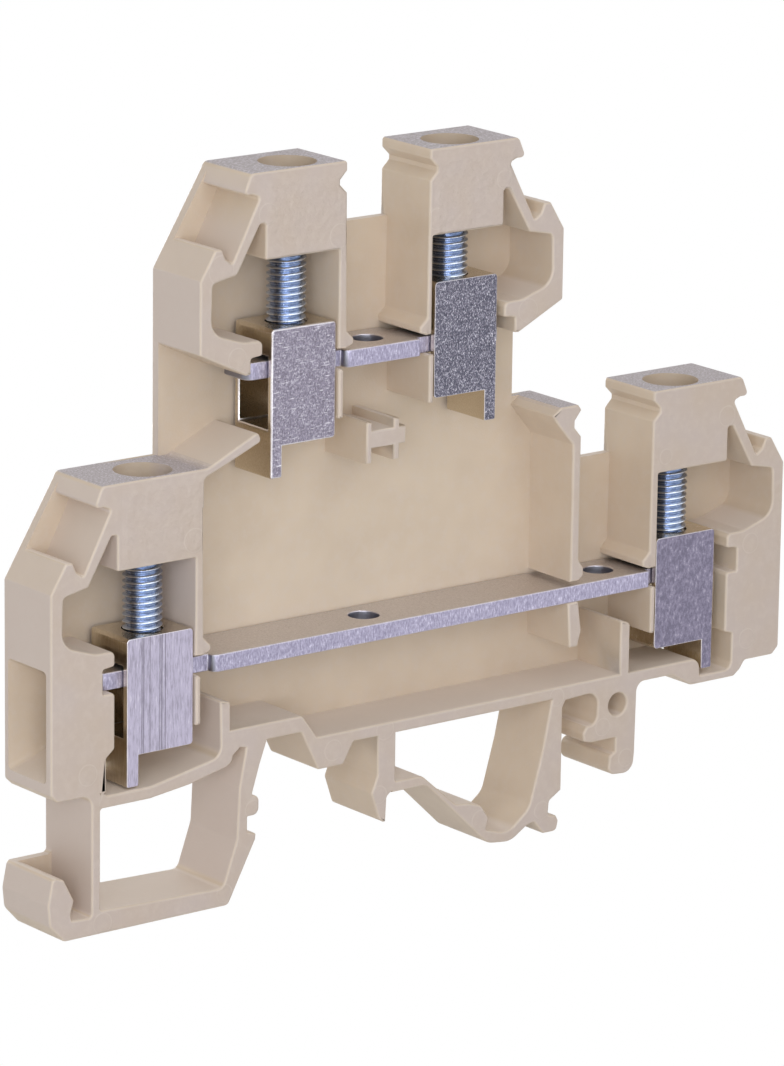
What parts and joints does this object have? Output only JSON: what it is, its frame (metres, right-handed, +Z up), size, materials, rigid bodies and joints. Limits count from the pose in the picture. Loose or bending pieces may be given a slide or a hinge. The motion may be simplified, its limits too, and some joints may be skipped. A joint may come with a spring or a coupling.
{
  "type": "terminal block",
  "caption": "Double level screw terminal block that clips to a mounting rail, open on one side to show its bars, clamping cages and screws.",
  "frame": {"origin": "middle of the mounting rail, on the rail's upper face, halfway through the block's thickness", "axes": "+X along the block towards the fixed jaw of the foot, +Y from the open face to the closed wall, +Z up, away from the rail"},
  "size_m": [0.0705, 0.006, 0.0554],
  "materials": {
    "housing": "fine grained, matt",
    "bar": "tinned",
    "clamp": "zinc plated",
    "screw": "blue zinc plated"
  },
  "bodies": {
    "block": {"housing": "housing", "upper_bar": "bar", "lower_bar": "bar"},
    "screw_upper_left": {"screw_upper_left": "screw"},
    "clamp_upper_left": {"clamp_upper_left": "clamp"},
    "screw_upper_right": {"screw_upper_right": "screw"},
    "clamp_upper_right": {"clamp_upper_right": "clamp"},
    "screw_lower_left": {"screw_lower_left": "screw"},
    "clamp_lower_left": {"clamp_lower_left": "clamp"},
    "screw_lower_right": {"screw_lower_right": "screw"},
    "clamp_lower_right": {"clamp_lower_right": "clamp"}
  },
  "joints": [
    {"name": "turn_upper_left", "type": "hinge", "parent": "block", "child": "screw_upper_left", "pos_m": [-0.01285, -0.0005, 0.04225], "axis": [0, 0, 1], "range_deg": [-2740, 0]},
    {"name": "lift_upper_left", "type": "slide", "parent": "block", "child": "clamp_upper_left", "axis": [0, 0, 1], "range_m": [0, 0.0038]},
    {"name": "turn_upper_right", "type": "hinge", "parent": "block", "child": "screw_upper_right", "pos_m": [0.00235, -0.0005, 0.04225], "axis": [0, 0, 1], "range_deg": [-1515, 1225]},
    {"name": "lift_upper_right", "type": "slide", "parent": "block", "child": "clamp_upper_right", "axis": [0, 0, 1], "range_m": [-0.0017, 0.0021]},
    {"name": "turn_lower_left", "type": "hinge", "parent": "block", "child": "screw_lower_left", "pos_m": [-0.0258, -0.0005, 0.02075], "axis": [0, 0, 1], "range_deg": [-2740, 0]},
    {"name": "lift_lower_left", "type": "slide", "parent": "block", "child": "clamp_lower_left", "axis": [0, 0, 1], "range_m": [0, 0.0038]},
    {"name": "turn_lower_right", "type": "hinge", "parent": "block", "child": "screw_lower_right", "pos_m": [0.0247, -0.0005, 0.02075], "axis": [0, 0, 1], "range_deg": [-2740, 0]},
    {"name": "lift_lower_right", "type": "slide", "parent": "block", "child": "clamp_lower_right", "axis": [0, 0, 1], "range_m": [0, 0.0038]}
  ],
  "couplings": [
    {"joint": "turn_upper_left", "follows": "lift_upper_left", "rad_per_m": -12566},
    {"joint": "turn_upper_right", "follows": "lift_upper_right", "rad_per_m": -12566},
    {"joint": "turn_lower_left", "follows": "lift_lower_left", "rad_per_m": -12566},
    {"joint": "turn_lower_right", "follows": "lift_lower_right", "rad_per_m": -12566}
  ]
}
